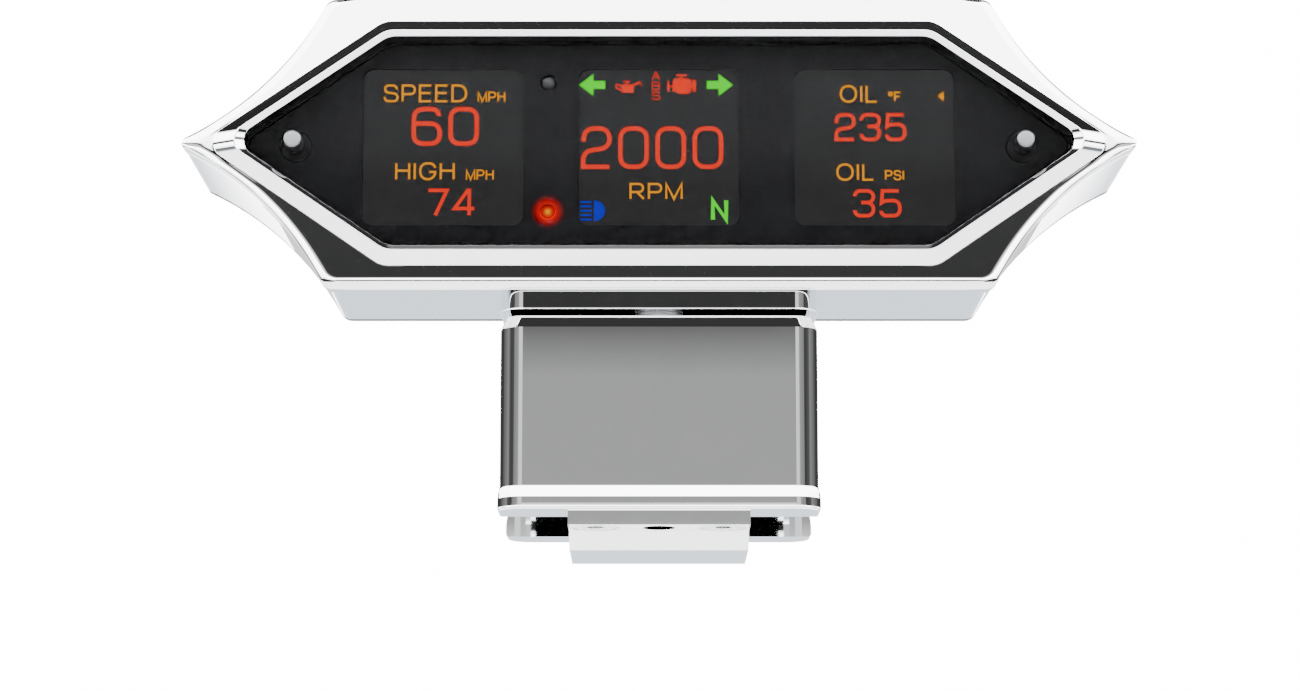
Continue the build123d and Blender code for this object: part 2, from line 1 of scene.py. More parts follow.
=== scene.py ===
import math
import bmesh
import bpy
import numpy as np
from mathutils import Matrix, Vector


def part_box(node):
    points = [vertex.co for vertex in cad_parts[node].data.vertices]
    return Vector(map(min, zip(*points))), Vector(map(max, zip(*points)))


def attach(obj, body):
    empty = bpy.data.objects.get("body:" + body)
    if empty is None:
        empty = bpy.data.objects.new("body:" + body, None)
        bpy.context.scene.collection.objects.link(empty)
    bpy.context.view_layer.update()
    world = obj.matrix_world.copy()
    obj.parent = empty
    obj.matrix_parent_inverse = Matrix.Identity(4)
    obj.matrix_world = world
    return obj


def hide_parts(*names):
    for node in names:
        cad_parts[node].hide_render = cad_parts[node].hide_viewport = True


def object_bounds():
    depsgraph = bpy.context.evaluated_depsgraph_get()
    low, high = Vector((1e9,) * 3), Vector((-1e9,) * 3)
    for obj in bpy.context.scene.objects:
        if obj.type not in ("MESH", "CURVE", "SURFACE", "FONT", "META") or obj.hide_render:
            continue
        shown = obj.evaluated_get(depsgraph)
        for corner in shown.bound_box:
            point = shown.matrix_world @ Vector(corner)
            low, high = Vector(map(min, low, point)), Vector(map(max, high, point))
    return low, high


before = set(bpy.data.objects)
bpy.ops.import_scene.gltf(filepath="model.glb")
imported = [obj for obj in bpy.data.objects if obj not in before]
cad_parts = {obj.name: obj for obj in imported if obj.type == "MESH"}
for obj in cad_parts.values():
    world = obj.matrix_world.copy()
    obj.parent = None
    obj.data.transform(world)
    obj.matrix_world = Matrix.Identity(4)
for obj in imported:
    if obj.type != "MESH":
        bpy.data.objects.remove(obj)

cadBox = [list(corner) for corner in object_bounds()]
mm = 0.001
print("frame loaded:", len(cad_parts), "nodes")


# Small helpers

def boxOf(node):
    low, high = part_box(node)
    return [c / mm for c in low], [c / mm for c in high]


def meshPiece(name, verts, faces, smooth=True):
    # verts are in millimetres, the object is in metres
    mesh = bpy.data.meshes.new(name)
    mesh.from_pydata([(x * mm, y * mm, z * mm) for x, y, z in verts], [], faces)
    mesh.validate()
    bm = bmesh.new()
    bm.from_mesh(mesh)
    bmesh.ops.recalc_face_normals(bm, faces=bm.faces)
    bm.to_mesh(mesh)
    bm.free()
    for polygon in mesh.polygons:
        polygon.use_smooth = smooth
    piece = bpy.data.objects.new(name, mesh)
    bpy.context.scene.collection.objects.link(piece)
    return piece


def finish(piece, body, material, replaces=()):
    piece.data.materials.clear()
    piece.data.materials.append(material)
    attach(piece, body)
    if replaces:
        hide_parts(*replaces)
    return piece


def loopsToFaces(count, loops, closed=False):
    # quads between stacked closed loops of the same length
    faces = []
    steps = loops if closed else loops - 1
    for j in range(steps):
        a = j * count
        b = ((j + 1) % loops) * count
        for i in range(count):
            k = (i + 1) % count
            faces.append((a + i, a + k, b + k, b + i))
    return faces


def roundedSection(corners, steps=5):
    # corners are (across, along, radius); sharp corners have radius 0
    points = []
    last = len(corners) - 1
    for i, (x, y, r) in enumerate(corners):
        here = np.array((x, y), float)
        if r == 0 or i in (0, last):
            points.append(tuple(here))
            continue
        before = np.array(corners[i - 1][:2], float) - here
        after = np.array(corners[i + 1][:2], float) - here
        before /= np.linalg.norm(before)
        after /= np.linalg.norm(after)
        half = math.acos(max(-1, min(1, float(before @ after)))) / 2
        reach = r / math.tan(half)
        middle = (before + after) / np.linalg.norm(before + after)
        centre = here + middle * (r / math.sin(half))
        start = here + before * reach - centre
        end = here + after * reach - centre
        turn = math.pi - 2 * half
        for s in range(steps + 1):
            t = s / steps
            mix = (math.sin((1 - t) * turn) * start + math.sin(t * turn) * end) / math.sin(turn)
            points.append(tuple(centre + mix))
    return points


# Material helpers

def newMaterial(name):
    material = bpy.data.materials.new(name)
    material.use_nodes = True
    return material, material.node_tree.nodes, material.node_tree.links


def shaderOf(material):
    return material.node_tree.nodes["Principled BSDF"]


def addRamp(nodes, stops):
    ramp = nodes.new("ShaderNodeValToRGB")
    elements = ramp.color_ramp.elements
    while len(elements) < len(stops):
        elements.new(0.5)
    for element, (place, value) in zip(elements, stops):
        element.position = place
        element.color = tuple(value) + (1,) if len(value) == 3 else tuple(value)
    return ramp


def noiseBump(material, scale, strength, distance, detail=4):
    # fine surface relief from noise, in object space
    nodes = material.node_tree.nodes
    links = material.node_tree.links
    place = nodes.new("ShaderNodeTexCoord")
    noise = nodes.new("ShaderNodeTexNoise")
    noise.inputs["Scale"].default_value = scale
    noise.inputs["Detail"].default_value = detail
    bump = nodes.new("ShaderNodeBump")
    bump.inputs["Strength"].default_value = strength
    bump.inputs["Distance"].default_value = distance
    links.new(place.outputs["Object"], noise.inputs["Vector"])
    links.new(noise.outputs["Fac"], bump.inputs["Height"])
    links.new(bump.outputs["Normal"], shaderOf(material).inputs["Normal"])
    return noise


def noiseRoughness(material, noise, low, high):
    nodes = material.node_tree.nodes
    spread = nodes.new("ShaderNodeMapRange")
    spread.inputs["From Min"].default_value = 0.35
    spread.inputs["From Max"].default_value = 0.65
    spread.inputs["To Min"].default_value = low
    spread.inputs["To Max"].default_value = high
    material.node_tree.links.new(noise.outputs["Fac"], spread.inputs["Value"])
    material.node_tree.links.new(spread.outputs["Result"], shaderOf(material).inputs["Roughness"])


def noiseColour(material, noise, dark, light):
    nodes = material.node_tree.nodes
    ramp = addRamp(nodes, [(0.3, dark), (0.7, light)])
    material.node_tree.links.new(noise.outputs["Fac"], ramp.inputs["Fac"])
    material.node_tree.links.new(ramp.outputs["Color"], shaderOf(material).inputs["Base Color"])


def grainMaterial(name, dark, light, metallic, rough, scale, relief):
    # relief is (strength, distance in metres)
    material = newMaterial(name)[0]
    shaderOf(material).inputs["Metallic"].default_value = metallic
    noise = noiseBump(material, scale, relief[0], relief[1])
    noiseRoughness(material, noise, rough[0], rough[1])
    noiseColour(material, noise, dark, light)
    return material


# Studio: camera, floor, light

studio = {
    "cameraPlace": (-1.7, -652.7, -93.4),
    "cameraLift": 10.0,          # degrees above level
    "lens": 93.85,
    "floorBelow": 110.0,         # under the object, mm
    "floorRadius": 400.0,
}


def makeCamera():
    data = bpy.data.cameras.new("camera")
    data.lens = studio["lens"]
    data.sensor_width = 36
    data.clip_end = 50
    camera = bpy.data.objects.new("camera", data)
    camera.location = [c * mm for c in studio["cameraPlace"]]
    camera.rotation_euler = (math.radians(90 + studio["cameraLift"]), 0, 0)
    bpy.context.scene.collection.objects.link(camera)
    bpy.context.scene.camera = camera


def makeFloor():
    low = cadBox[0][2] / mm - studio["floorBelow"]
    radius = studio["floorRadius"]
    count = 96
    verts = []
    for ring in (0.25, 0.6, 1.0):
        for i in range(count):
            a = 2 * math.pi * i / count
            verts.append((radius * ring * math.cos(a), radius * ring * math.sin(a), low))
    faces = loopsToFaces(count, 3) + [tuple(range(count))]
    floor = meshPiece("floor", verts, faces)
    material = grainMaterial("floorPaint", (0.80, 0.80, 0.81), (0.84, 0.84, 0.85), 0, (0.55, 0.65), 3,
                             (0.02, 0.001))
    floor.data.materials.append(material)


# Light seen in the chrome, by height above level in degrees: (height, brightness)
frontSky = [(-90, 6.0), (-25, 4.0), (-22, 0.06), (-10, 0.04), (-8, 5.0), (0, 10.0), (4.6, 10.0), (6.6, 0.50),
            (10.36, 0.45), (10.48, 0.045), (13.2, 0.06), (13.4, 8.5), (17, 8.5), (18, 11.0), (38, 11.0),
            (45, 0.045), (76, 0.045), (83, 0.40), (90, 0.40)]
rearSky = [(-90, 6.0), (-16, 1.5), (-2, 1.8), (4, 7.0), (20, 11.0), (38, 11.0), (46, 0.03), (78, 0.03),
           (90, 0.42)]

# Shade low down at the sides, by turn from straight ahead in degrees: (turn, brightness)
sideBands = [(0, 0.5), (9, 0.5), (12, 1.2), (24, 1.1), (30, 0.40), (48, 0.30), (56, 0.06), (72, 0.10),
             (82, 0.30), (108, 0.16), (125, 0.05), (155, 0.07), (168, 1.2), (180, 1.5)]
backdropWhite = 16.0             # bright enough to be plain white


def skyRamp(nodes, stops):
    # the dimmer half of the light is a little bluer
    shades = []
    for height, value in stops:
        blue = 1.10 if 0.6 < value < 3 else 1.0
        shades.append(((height + 90) / 180, (value / blue, value, value * blue)))
    return addRamp(nodes, shades)


def addSideBands(nodes, links, place, split, angle, sky):
    # upright bands of light and dark near level, for the rounded corners
    def math2(operation, first, second):
        node = nodes.new("ShaderNodeMath")
        node.operation = operation
        for socket, value in zip(node.inputs, (first, second)):
            if isinstance(value, (int, float)):
                socket.default_value = value
            elif value is not None:
                links.new(value, socket)
        return node.outputs[0]

    ahead = math2("MULTIPLY", split.outputs["Y"], -1)
    turn = math2("ABSOLUTE", math2("ARCTAN2", split.outputs["X"], ahead), None)
    wobble = nodes.new("ShaderNodeTexNoise")
    wobble.inputs["Scale"].default_value = 9
    links.new(place.outputs["Generated"], wobble.inputs["Vector"])
    swing = math2("MULTIPLY", math2("SUBTRACT", wobble.outputs["Fac"], 0.5), 0.5)
    swing = math2("MULTIPLY", swing, math2("MINIMUM", turn, 1.0))
    turn = math2("DIVIDE", math2("ADD", turn, swing), math.pi)
    bands = addRamp(nodes, [(degrees / 180, (value, value, value)) for degrees, value in sideBands])
    links.new(turn, bands.inputs["Fac"])
    inside = math2("MULTIPLY", math2("GREATER_THAN", angle.outputs[0], math.radians(6.2)),
                   math2("LESS_THAN", angle.outputs[0], math.radians(11.6)))
    inside = math2("MULTIPLY", inside, math2("GREATER_THAN", turn, 9.5 / 180))
    mix = nodes.new("ShaderNodeMix")
    mix.data_type = "RGBA"
    links.new(inside, mix.inputs["Factor"])
    links.new(sky.outputs[2], mix.inputs[6])
    links.new(bands.outputs["Color"], mix.inputs[7])
    return mix


def makeWorld():
    world = bpy.data.worlds.new("studioLight")
    bpy.context.scene.world = world
    world.use_nodes = True
    nodes = world.node_tree.nodes
    links = world.node_tree.links
    nodes.clear()
    place = nodes.new("ShaderNodeTexCoord")
    split = nodes.new("ShaderNodeSeparateXYZ")
    links.new(place.outputs["Generated"], split.inputs[0])
    angle = nodes.new("ShaderNodeMath")
    angle.operation = "ARCSINE"
    links.new(split.outputs["Z"], angle.inputs[0])
    height = nodes.new("ShaderNodeMapRange")
    height.inputs["From Min"].default_value = -math.pi / 2
    height.inputs["From Max"].default_value = math.pi / 2
    links.new(angle.outputs[0], height.inputs["Value"])
    front = skyRamp(nodes, frontSky)
    rear = skyRamp(nodes, rearSky)
    side = nodes.new("ShaderNodeMapRange")     # 0 in front of the face, 1 behind it
    side.inputs["From Min"].default_value = -0.35
    side.inputs["From Max"].default_value = 0.05
    links.new(split.outputs["Y"], side.inputs["Value"])
    blend = nodes.new("ShaderNodeMix")
    blend.data_type = "RGBA"
    links.new(side.outputs["Result"], blend.inputs["Factor"])
    links.new(height.outputs["Result"], front.inputs["Fac"])
    links.new(height.outputs["Result"], rear.inputs["Fac"])
    links.new(front.outputs["Color"], blend.inputs[6])
    links.new(rear.outputs["Color"], blend.inputs[7])
    banded = addSideBands(nodes, links, place, split, angle, blend)
    studioGlow = nodes.new("ShaderNodeBackground")
    links.new(banded.outputs[2], studioGlow.inputs["Color"])
    plain = nodes.new("ShaderNodeBackground")  # what the camera itself sees
    plain.inputs["Color"].default_value = (1, 1, 1, 1)
    plain.inputs["Strength"].default_value = backdropWhite
    path = nodes.new("ShaderNodeLightPath")
    choose = nodes.new("ShaderNodeMixShader")
    output = nodes.new("ShaderNodeOutputWorld")
    links.new(path.outputs["Is Camera Ray"], choose.inputs[0])
    links.new(studioGlow.outputs[0], choose.inputs[1])
    links.new(plain.outputs[0], choose.inputs[2])
    links.new(choose.outputs[0], output.inputs["Surface"])


def addSoftLight(name, place, aim, size, power):
    data = bpy.data.lights.new(name, "AREA")
    data.shape = "RECTANGLE"
    data.size = size[0]
    data.size_y = size[1]
    data.energy = power
    light = bpy.data.objects.new(name, data)
    light.location = place
    light.rotation_euler = (Vector(aim) - Vector(place)).to_track_quat("-Z", "Y").to_euler()
    light.visible_glossy = False
    bpy.context.scene.collection.objects.link(light)


makeCamera()
makeFloor()
makeWorld()
addSoftLight("topLight", (0.3, -0.6, 1.4), (0, 0, 0), (1.2, 1.0), 14)
addSoftLight("backLight", (-0.8, 1.2, 0.9), (0, 0, 0), (1.2, 1.0), 9)
print("studio ready")


# Finishes

def chromeFinish():
    return grainMaterial("brightChrome", (0.85, 0.86, 0.87), (0.88, 0.885, 0.89), 1, (0.008, 0.022), 300,
                         (0.001, 0.000005))


def displayFinish():
    # glass over a matrix of dark dots, lifted by a faint even painted glow
    material, nodes, links = newMaterial("displayGlassPaintedGlow")
    shader = shaderOf(material)
    shader.inputs["Roughness"].default_value = 0.9
    shader.inputs["Specular IOR Level"].default_value = 0.02
    place = nodes.new("ShaderNodeTexCoord")
    dots = nodes.new("ShaderNodeTexChecker")
    dots.inputs["Scale"].default_value = 4200
    dots.inputs["Color1"].default_value = (0.0060, 0.0060, 0.0060, 1)
    dots.inputs["Color2"].default_value = (0.0050, 0.0050, 0.0050, 1)
    links.new(place.outputs["Object"], dots.inputs["Vector"])
    links.new(dots.outputs["Color"], shader.inputs["Base Color"])
    # painted glow: a faint even emission brightens the unlit windows
    shader.inputs["Emission Color"].default_value = (1.0, 1.0, 0.98, 1)
    shader.inputs["Emission Strength"].default_value = 0.036
    return material


def satinFinish():
    # turned aluminium: fine random relief over the pin
    material = newMaterial("satinAluminium")[0]
    shaderOf(material).inputs["Metallic"].default_value = 1
    noise = noiseBump(material, 5000, 0.12, 0.00005)
    noiseRoughness(material, noise, 0.26, 0.40)
    noiseColour(material, noise, (0.12, 0.125, 0.13), (0.16, 0.165, 0.17))
    return material


def glassFinish():
    # smoked window, tinted evenly
    material = newMaterial("smokedGlass")[0]
    shader = shaderOf(material)
    shader.inputs["Base Color"].default_value = (0.62, 0.62, 0.64, 1)
    shader.inputs["Transmission Weight"].default_value = 1
    shader.inputs["IOR"].default_value = 1.06
    shader.inputs["Specular IOR Level"].default_value = 0.03
    noise = noiseBump(material, 400, 0.004, 0.00002)
    noiseRoughness(material, noise, 0.0, 0.012)
    return material


def boardFinish():
    # green solder mask with copper tracks showing through as lighter lines
    material, nodes, links = newMaterial("greenBoard")
    shader = shaderOf(material)
    shader.inputs["Roughness"].default_value = 0.35
    place = nodes.new("ShaderNodeTexCoord")
    tracks = nodes.new("ShaderNodeTexBrick")
    tracks.inputs["Scale"].default_value = 160
    tracks.inputs["Mortar Size"].default_value = 0.03
    tracks.inputs["Color1"].default_value = (0.010, 0.085, 0.040, 1)
    tracks.inputs["Color2"].default_value = (0.012, 0.100, 0.050, 1)
    tracks.inputs["Mortar"].default_value = (0.030, 0.190, 0.080, 1)
    turn = nodes.new("ShaderNodeMapping")
    turn.inputs["Rotation"].default_value = (math.pi / 2, 0, 0)
    links.new(place.outputs["Object"], turn.inputs["Vector"])
    links.new(turn.outputs["Vector"], tracks.inputs["Vector"])
    links.new(tracks.outputs["Color"], shader.inputs["Base Color"])
    return material


finishes = {
    "clearLamp": grainMaterial("clearLamp", (0.020, 0.020, 0.021), (0.035, 0.035, 0.036), 0, (0.25, 0.4),
                               2500, (0.05, 0.00003)),
    "chrome": chromeFinish(),
    "satin": satinFinish(),
    "glass": glassFinish(),
    "board": boardFinish(),
    "blackMetal": grainMaterial("blackPowderCoat", (0.016, 0.016, 0.017), (0.026, 0.026, 0.027), 0,
                                (0.38, 0.5), 2600, (0.25, 0.00008)),
    "display": displayFinish(),
    "mask": grainMaterial("blackMask", (0.0112, 0.0112, 0.0120), (0.0130, 0.0130, 0.0140), 0, (0.85, 0.95),
                          3000, (0.1, 0.00003)),
    "plastic": grainMaterial("blackPlastic", (0.012, 0.012, 0.012), (0.02, 0.02, 0.02), 0, (0.4, 0.55), 3000,
                             (0.15, 0.00004)),
    "rubber": grainMaterial("blackRubber", (0.010, 0.010, 0.010), (0.018, 0.018, 0.018), 0, (0.7, 0.85), 1800,
                            (0.2, 0.00006)),
    "steel": grainMaterial("zincSteel", (0.50, 0.51, 0.53), (0.62, 0.63, 0.65), 1, (0.2, 0.34), 1500,
                           (0.08, 0.00004)),
}

nodeFinish = {
    "blackMetal": ["back_cover"],
    "display": ["left_display", "centre_display", "right_display"],
    "mask": ["face_mask"],
    "board": ["main_board", "left_display_board", "centre_display_board", "right_display_board"],
    "plastic": ["display_headers", "board_chips", "board_connector", "left_switch", "right_switch"],
    "rubber": ["lens_gasket", "cover_gasket", "harness_grommet", "left_button_seal", "right_button_seal"],
    "steel": ["board_screws", "cover_screws", "foot_screws", "pivot_screw", "pivot_washer", "clamp_screws"],
    "satin": ["left_button", "right_button", "pivot_collar"],
    "glass": ["lens"],
    "clearLamp": ["upper_led", "lower_led"],
    "chrome": ["housing", "mounting_foot", "clamp_block", "clamp_cap"],
}


shaderOf(finishes["mask"]).inputs["Specular IOR Level"].default_value = 0.02


def dressNodes():
    for finishName, nodes in nodeFinish.items():
        for node in nodes:
            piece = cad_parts[node]
            piece.data.materials.clear()
            piece.data.materials.append(finishes[finishName])


dressNodes()
print("finishes on the plain parts")


# Case: outline loops and the chromed shell

caseShape = {
    "tip": 91.7,                 # half width to the sharp point
    "flat": 62.7,                # half length of the straight top edge
    "hollow": 3.5,               # how far the slanting sides are hollowed
    "cornerRadius": 2.5,
    "tipRadius": 1.2,
    "wall": 2.2,
    "rimStep": 1.0,
    "rimDepth": 5.0,
    "rimRound": 1.9,             # under edge
    "topRound": 0.3,
    "crownWidth": 1.9,           # gentle crown along the slanting sides
    "crownLean": 20.0,
    "frontWall": 2.0,
}

ringShape = {
    "tip": 86.3,
    "halfHeight": 23.55,
    "flat": 52.1,
    "cornerRadius": 5.0,
    "hollow": 0.0005,            # next to straight
    "tipRadius": 3.0,
    "rise": 2.6,
    "crestAt": 2.40,             # inset of the crest's middle
    "crestHalf": 0.08,
    "crestRound": 0.12,
    "shelfAt": 3.40,             # foot of the bright slope inside the crest
    "shelfDrop": 0.67,
    "innerAt": 3.65,             # inset of the lens edge
    "lensRecess": 3.16,
}

loopSteps = {"line": 16, "corner": 8, "side": 28, "tip": 8}


def hexLoop(halfWidth, halfHeight, flat, hollow, inset, cornerRadius, tipRadius):
    # one closed loop of (x, z): straight top and bottom, hollowed sides, rounded corners
    run = halfWidth - flat
    chord = math.hypot(run, halfHeight)
    radius = (chord ** 2 / 4 + hollow ** 2) / (2 * hollow)
    middle = np.array(((halfWidth + flat) / 2, halfHeight / 2))
    hub = middle + np.array((halfHeight, run)) / chord * (radius - hollow)
    reach = radius + inset
    top = halfHeight - inset
    cornerHub = np.array((0.0, top - cornerRadius))
    cornerHub[0] = hub[0] - math.sqrt((reach + cornerRadius) ** 2 - (cornerHub[1] - hub[1]) ** 2)
    tipHub = np.array((hub[0] - math.sqrt((reach + tipRadius) ** 2 - hub[1] ** 2), 0.0))

    def angleFrom(centre, point):
        return math.atan2(point[1] - centre[1], point[0] - centre[0])

    def arc(centre, r, start, end, steps):
        turns = [start + (end - start) * i / steps for i in range(steps)]
        return [(centre[0] + r * math.cos(a), centre[1] + r * math.sin(a)) for a in turns]

    cornerEnd = angleFrom(cornerHub, hub)
    sideStart = angleFrom(hub, cornerHub)
    sideEnd = angleFrom(hub, tipHub)
    tipStart = angleFrom(tipHub, hub)
    if sideStart < 0:
        sideStart += 2 * math.pi
    if sideEnd < 0:
        sideEnd += 2 * math.pi
    quarter = [(cornerHub[0] * i / loopSteps["line"], top) for i in range(loopSteps["line"])]
    quarter += arc(cornerHub, cornerRadius, math.pi / 2, cornerEnd, loopSteps["corner"])
    quarter += arc(hub, reach, sideStart, sideEnd, loopSteps["side"])
    quarter += arc(tipHub, tipRadius, tipStart, 0, loopSteps["tip"])
    quarter.append((tipHub[0] + tipRadius, 0.0))
    loop = list(quarter)
    loop += [(x, -z) for x, z in reversed(quarter[:-1])]
    loop += [(-x, -z) for x, z in quarter[1:]]
    loop += [(-x, z) for x, z in reversed(quarter[1:-1])]
    return np.array(loop)


housingLow, housingHigh = boxOf("housing")
caseCentre = (housingLow[2] + housingHigh[2]) / 2
caseHalf = (housingHigh[2] - housingLow[2]) / 2
crestY = housingLow[1]
faceY = crestY + ringShape["rise"]
lensY = crestY + ringShape["lensRecess"]
caseRear = housingHigh[1]


def caseLoop(inset, step=0):
    # a step lowers the top and bottom only, so the points stay where they are
    s = caseShape
    return hexLoop(s["tip"], caseHalf - step, s["flat"] - step / 2, s["hollow"], inset, s["cornerRadius"],
                   s["tipRadius"])


def ringLoop(inset):
    s = ringShape
    return hexLoop(s["tip"], s["halfHeight"], s["flat"], s["hollow"], inset, s["cornerRadius"],
                   s["tipRadius"])


def placed(loop, y):
    return [(x, y, caseCentre + z) for x, z in loop]


def gapBetween(loop, other):
    # shortest distance from each point of one loop to another loop
    return np.array([np.min(np.hypot(other[:, 0] - x, other[:, 1] - z)) for x, z in loop])


def rimSections(count=12):
    # (inset, depth) from the side wall to the face: small round on top, crown at the sides, full round below
    s = caseShape
    turns = [math.pi / 2 * i / (count - 1) for i in range(count)]
    def rounded(r):
        return np.array([(r * (1 - math.cos(a)), r * (1 - math.sin(a))) for a in turns])
    width = s["crownWidth"]
    lean = math.radians(s["crownLean"])
    swell = width / math.sin(lean)
    corner = s["topRound"]
    fall = swell * (1 - math.cos(lean))
    crown = [(0.0, corner + fall), (0.3 * corner, 0.3 * corner + fall)]
    for i in range(count - 2):
        across = corner + (width - corner) * i / (count - 3)
        crown.append((across, swell - math.sqrt(swell ** 2 - (width - across) ** 2)))
    return rounded(s["topRound"]), np.array(crown), rounded(s["rimRound"])


def makeCaseShell():
    s = caseShape
    r = ringShape
    outer = caseLoop(0)
    inward = caseLoop(1) - outer
    squeeze = np.minimum(1, 0.75 * gapBetween(outer, ringLoop(0)) / s["rimRound"])
    aside = np.clip((np.abs(outer[:, 0]) - s["flat"] + 4) / 5, 0, 1)
    onTop = (1 - aside) * (outer[:, 1] > 0)
    below = (1 - aside) * (outer[:, 1] <= 0)
    topSection, crownSection, lowSection = rimSections()
    sideSection = roundedSection([(s["rimStep"], caseRear, 0),
                                  (s["rimStep"], faceY + s["rimDepth"] + 0.3, 0.4),
                                  (0, faceY + s["rimDepth"] - 0.3, 0.5), (0, faceY + s["rimRound"] + 0.2, 0)])
    crestIn = r["crestAt"] - r["crestHalf"]
    crestOut = r["crestAt"] + r["crestHalf"]
    ringSection = roundedSection([(-0.3, faceY, 0), (0, faceY, 0.15), (crestIn, crestY, r["crestRound"]),
                                  (crestOut, crestY, r["crestRound"]),
                                  (r["shelfAt"], crestY + r["shelfDrop"], 0.2),
                                  (r["innerAt"], lensY, 0), (r["innerAt"], faceY + s["frontWall"], 0)])
    verts = []
    loops = 0
    for step, y in sideSection:
        verts += placed(caseLoop(0, step), y)
        loops += 1
    # one more loop on the flat face keeps the rounding's shading off it
    topSection, crownSection, lowSection = (np.vstack([section, section[-1] + (0.2, 0)])
                                            for section in (topSection, crownSection, lowSection))
    for i in range(len(lowSection)):
        rows = np.outer(onTop, topSection[i]) + np.outer(aside, crownSection[i])
        rows = rows + np.outer(below, lowSection[i])
        rows *= squeeze[:, None]
        spots = outer + inward * rows[:, :1]
        verts += [(x, faceY + deep, caseCentre + z) for (x, z), deep in zip(spots, rows[:, 1])]
        loops += 1
    for inset, y in ringSection:
        verts += placed(ringLoop(inset), y)
        loops += 1
    for y in (faceY + s["frontWall"], caseRear):
        verts += placed(caseLoop(s["wall"], s["rimStep"]), y)
        loops += 1
    count = len(outer)
    shell = meshPiece("caseShell", verts, loopsToFaces(count, loops, closed=True))
    crispen(shell, 40)
    return finish(shell, "head", finishes["chrome"], ["housing"])


def crispen(piece, degrees):
    # edges folded by more than this stay crisp, the rest shade smoothly
    bm = bmesh.new()
    bm.from_mesh(piece.data)
    for edge in bm.edges:
        if len(edge.link_faces) == 2:
            edge.smooth = edge.calc_face_angle(0) < math.radians(degrees)
    bm.to_mesh(piece.data)
    bm.free()
    weighted = piece.modifiers.new("evenNormals", "WEIGHTED_NORMAL")
    weighted.keep_sharp = True


makeCaseShell()
print("case shell built")


# Turned pieces: profiles of (radius, y) spun about an axis along Y
def turned(name, profile, x, z, closed=True, count=40):
    verts = []
    for radius, y in profile:
        for i in range(count):
            a = 2 * math.pi * i / count
            verts.append((x + radius * math.cos(a), y, z + radius * math.sin(a)))
    faces = loopsToFaces(count, len(profile))
    if closed:
        faces.append(tuple(range(count)))
        faces.append(tuple(reversed(range((len(profile) - 1) * count, len(profile) * count))))
    piece = meshPiece(name, verts, faces)
    crispen(piece, 35)
    return piece


buttonShape = {
    "radius": 1.7,
    "tipRound": 0.45,
    "sealRadius": 3.0,
    "sealBehind": 0.06,          # the seal sits just off the lens
}


def makeButtons():
    b = buttonShape
    for side in ("left", "right"):
        low, high = boxOf(side + "_button")
        x = (low[0] + high[0]) / 2
        z = (low[2] + high[2]) / 2
        sealLow, sealHigh = boxOf(side + "_button_seal")
        collarFront = sealHigh[1] + 0.06
        profile = roundedSection([(0.3, low[1], 0), (b["radius"], low[1], b["tipRound"]),
                                  (b["radius"], collarFront, 0), (3.0, collarFront, 0),
                                  (3.0, collarFront + 1.2, 0), (1.2, collarFront + 1.2, 0),
                                  (1.2, high[1], 0)], 6)
        pin = turned(side + "Pin", profile, x, z)
        finish(pin, side + "_button", finishes["satin"], [side + "_button"])
        front = sealLow[1] + b["sealBehind"]
        outer = roundedSection([(1.8, front, 0), (b["sealRadius"], front, 0.15),
                                (b["sealRadius"], sealHigh[1], 0.15),
                                (1.8, sealHigh[1], 0)])
        seal = turned(side + "Seal", outer, x, z)
        finish(seal, "head", finishes["mask"], [side + "_button_seal"])


# Lamps: a domed body with a rim and two legs each, lit from the middle outwards
lampShape = {
    "radius": 1.5,
    "rimRadius": 1.9,
    "rimDepth": 1.0,
    "bodyDepth": 5.4,
    "legSize": 0.5,
    "legPitch": 2.0,
    "glowRadius": 3.4,           # light spilling on the mask
    "spillAhead": 0.05,
}

# (distance from the middle in mm, colour)
lampFade = [(0.0, (1.3, 0.85, 0.0)), (0.35, (1.3, 0.45, 0.0)), (0.7, (1.2, 0.08, 0.0)),
            (1.1, (0.85, 0.004, 0.0)), (1.9, (0.6, 0.0, 0.0)), (2.4, (0.28, 0.0, 0.0)),
            (2.9, (0.05, 0.0, 0.0)), (3.4, (0.0, 0.0, 0.0))]


def fadeFinish(name, x, z):
    # light that fades with distance from the lamp's middle
    material, nodes, links = newMaterial(name)
    shader = shaderOf(material)
    shader.inputs["Base Color"].default_value = (0.01, 0.002, 0.002, 1)
    shader.inputs["Roughness"].default_value = 0.5
    shader.inputs["Specular IOR Level"].default_value = 0.05
    shader.inputs["Emission Strength"].default_value = 1
    place = nodes.new("ShaderNodeTexCoord")
    shift = nodes.new("ShaderNodeVectorMath")
    shift.operation = "SUBTRACT"
    shift.inputs[1].default_value = (x * mm, 0, z * mm)
    flat = nodes.new("ShaderNodeVectorMath")
    flat.operation = "MULTIPLY"
    flat.inputs[1].default_value = (1, 0, 1)
    far = nodes.new("ShaderNodeVectorMath")
    far.operation = "LENGTH"
    reach = nodes.new("ShaderNodeMapRange")
    reach.inputs["From Max"].default_value = lampShape["glowRadius"] * mm
    ramp = addRamp(nodes, [(r / lampShape["glowRadius"], colour) for r, colour in lampFade])
    links.new(place.outputs["Object"], shift.inputs[0])
    links.new(shift.outputs[0], flat.inputs[0])
    links.new(flat.outputs[0], far.inputs[0])
    links.new(far.outputs["Value"], reach.inputs["Value"])
    links.new(reach.outputs["Result"], ramp.inputs["Fac"])
    links.new(ramp.outputs["Color"], shader.inputs["Emission Color"])
    return material, ramp


def addSpill(material, ramp):
    # only the light shows, the sheet itself is clear
    nodes = material.node_tree.nodes
    links = material.node_tree.links
    glow = nodes.new("ShaderNodeEmission")
    clear = nodes.new("ShaderNodeBsdfTransparent")
    both = nodes.new("ShaderNodeAddShader")
    links.new(ramp.outputs["Color"], glow.inputs["Color"])
    links.new(glow.outputs[0], both.inputs[0])
    links.new(clear.outputs[0], both.inputs[1])
    links.new(both.outputs[0], nodes["Material Output"].inputs["Surface"])


